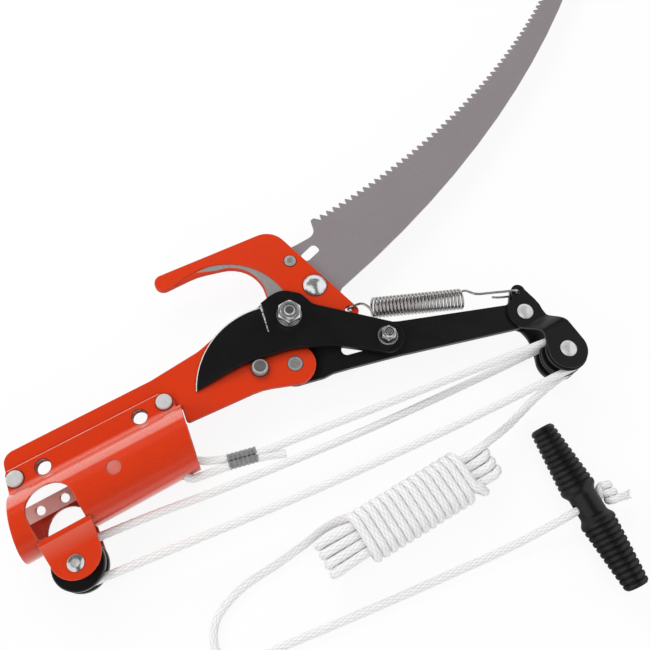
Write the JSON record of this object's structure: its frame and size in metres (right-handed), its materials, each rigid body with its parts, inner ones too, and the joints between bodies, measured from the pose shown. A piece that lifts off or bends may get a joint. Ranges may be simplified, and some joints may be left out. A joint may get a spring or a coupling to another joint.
{
  "type": "pole tree pruner head",
  "caption": "Pole pruner head: hooked plate with bypass blade, curved saw, sprung lever, rope tackle over sheaves, wound rope and ribbed pull handle.",
  "frame": {"origin": "centre of the pole socket's mouth, on the pole's axis, in the body plate's middle plane", "axes": "+X along the pole's axis towards the cutting head, +Y towards the hook and the saw, +Z out of the front face with the blade"},
  "size_m": [0.5439, 0.4034, 0.0374],
  "materials": {
    "orange_paint": "gloss orange-red powder coat on steel sheet",
    "saw_steel": "grey ground saw steel",
    "zinc": "bright zinc plated fastener",
    "black_steel": "black oxide steel",
    "black_plastic": "black moulded nylon, satin",
    "crimp_metal": "dull grey crimp sleeve",
    "white_rope": "white braided polyester cord"
  },
  "bodies": {
    "frame": {"body_plate": "orange_paint", "pole_socket": "orange_paint", "socket_rivets": "zinc", "saw_blade": "saw_steel", "saw_bolt": "zinc", "saw_nut": "zinc", "saw_rivet": "zinc", "pivot_bolt": "zinc", "pivot_washer": "zinc", "pivot_nut": "zinc", "lever_rivet": "zinc", "stop_pin": "zinc", "guide_axle": "zinc", "rope_wrap_guide": "white_rope", "rope_anchor_loop": "white_rope"},
    "lever": {"lever_arm": "black_steel", "front_cheek": "black_steel", "back_cheek": "black_steel", "cheek_rivet": "zinc", "sheave_axle": "zinc", "rope_wrap_front": "white_rope"},
    "blade": {"cutting_blade": "black_steel", "link_bolt": "zinc", "link_back_washer": "zinc", "link_washer": "zinc", "link_spring_washer": "black_steel", "link_nut": "zinc"},
    "front_sheave": {"front_sheave": "black_plastic"},
    "back_sheave": {"back_sheave": "black_plastic"},
    "guide_sheave": {"guide_sheave": "black_plastic"},
    "spring": {"return_spring": "zinc"},
    "spring_end": {"spring_hook": "zinc"},
    "rope_out": {"crimp_sleeve": "crimp_metal", "rope_run_out": "white_rope"},
    "rope_second": {"rope_run_second": "white_rope"},
    "rope_back": {"rope_run_back": "white_rope"},
    "rope_end": {"rope_wrap_back": "white_rope", "rope_tail": "white_rope", "rope_hank": "white_rope", "rope_lead": "white_rope", "rope_knot": "white_rope", "pull_handle": "black_plastic"}
  },
  "joints": [
    {"name": "lever_pivot", "type": "hinge", "parent": "frame", "child": "lever", "pos_m": [0.174, 0.0095, 0], "axis": [0, 0, -1], "range_deg": [0, 75.3], "stiffness_Nm_per_rad": 1.2, "springref_deg": -8.59, "deforming": ["return_spring", "spring_hook", "rope_run_out", "rope_run_second", "rope_run_back", "rope_anchor_loop", "rope_wrap_front"]},
    {"name": "blade_pivot", "type": "hinge", "parent": "frame", "child": "blade", "pos_m": [0.185, 0.0365, 0], "axis": [0, 0, -1], "range_deg": [0, 58.1]},
    {"name": "front_sheave_spin", "type": "hinge", "parent": "lever", "child": "front_sheave", "pos_m": [0.3185, -0.0645, 0], "axis": [0, 0, 1], "continuous": true},
    {"name": "back_sheave_spin", "type": "hinge", "parent": "lever", "child": "back_sheave", "pos_m": [0.3185, -0.0645, 0], "axis": [0, 0, 1], "continuous": true},
    {"name": "guide_sheave_spin", "type": "hinge", "parent": "frame", "child": "guide_sheave", "pos_m": [0.0205, -0.033, 0], "axis": [0, 0, 1], "continuous": true},
    {"name": "spring_swing", "type": "hinge", "parent": "frame", "child": "spring", "pos_m": [0.22, 0.0243, 0], "axis": [0, 0, -1], "range_deg": [0, 79.6]},
    {"name": "spring_stretch", "type": "slide", "parent": "spring", "child": "spring_end", "axis": [0.9229, -0.385, 0], "range_m": [0, 0.0583]},
    {"name": "rope_out_swing", "type": "hinge", "parent": "frame", "child": "rope_out", "pos_m": [0.1126, -0.0225, 0], "axis": [0, 0, -1], "range_deg": [0, 65]},
    {"name": "rope_second_swing", "type": "hinge", "parent": "frame", "child": "rope_second", "pos_m": [0.0205, -0.033, 0], "axis": [0, 0, -1], "range_deg": [0, 38.5]},
    {"name": "rope_back_swing", "type": "hinge", "parent": "frame", "child": "rope_back", "pos_m": [0.0205, -0.033, 0], "axis": [0, 0, -1], "range_deg": [0, 38.5]},
    {"name": "rope_end_swing", "type": "hinge", "parent": "lever", "child": "rope_end", "pos_m": [0.3185, -0.0645, 0], "axis": [0, 0, -1], "range_deg": [-75.4, 0]}
  ],
  "couplings": [
    {"joint": "blade_pivot", "follows": "lever_pivot", "ratio": 0.77025},
    {"joint": "spring_swing", "follows": "lever_pivot", "ratio": 1.0559},
    {"joint": "spring_stretch", "follows": "lever_pivot", "m_per_rad": 0.0443},
    {"joint": "rope_out_swing", "follows": "lever_pivot", "ratio": 0.862},
    {"joint": "rope_second_swing", "follows": "lever_pivot", "ratio": 0.5092},
    {"joint": "rope_back_swing", "follows": "lever_pivot", "ratio": 0.5092},
    {"joint": "rope_end_swing", "follows": "lever_pivot", "ratio": -1}
  ]
}
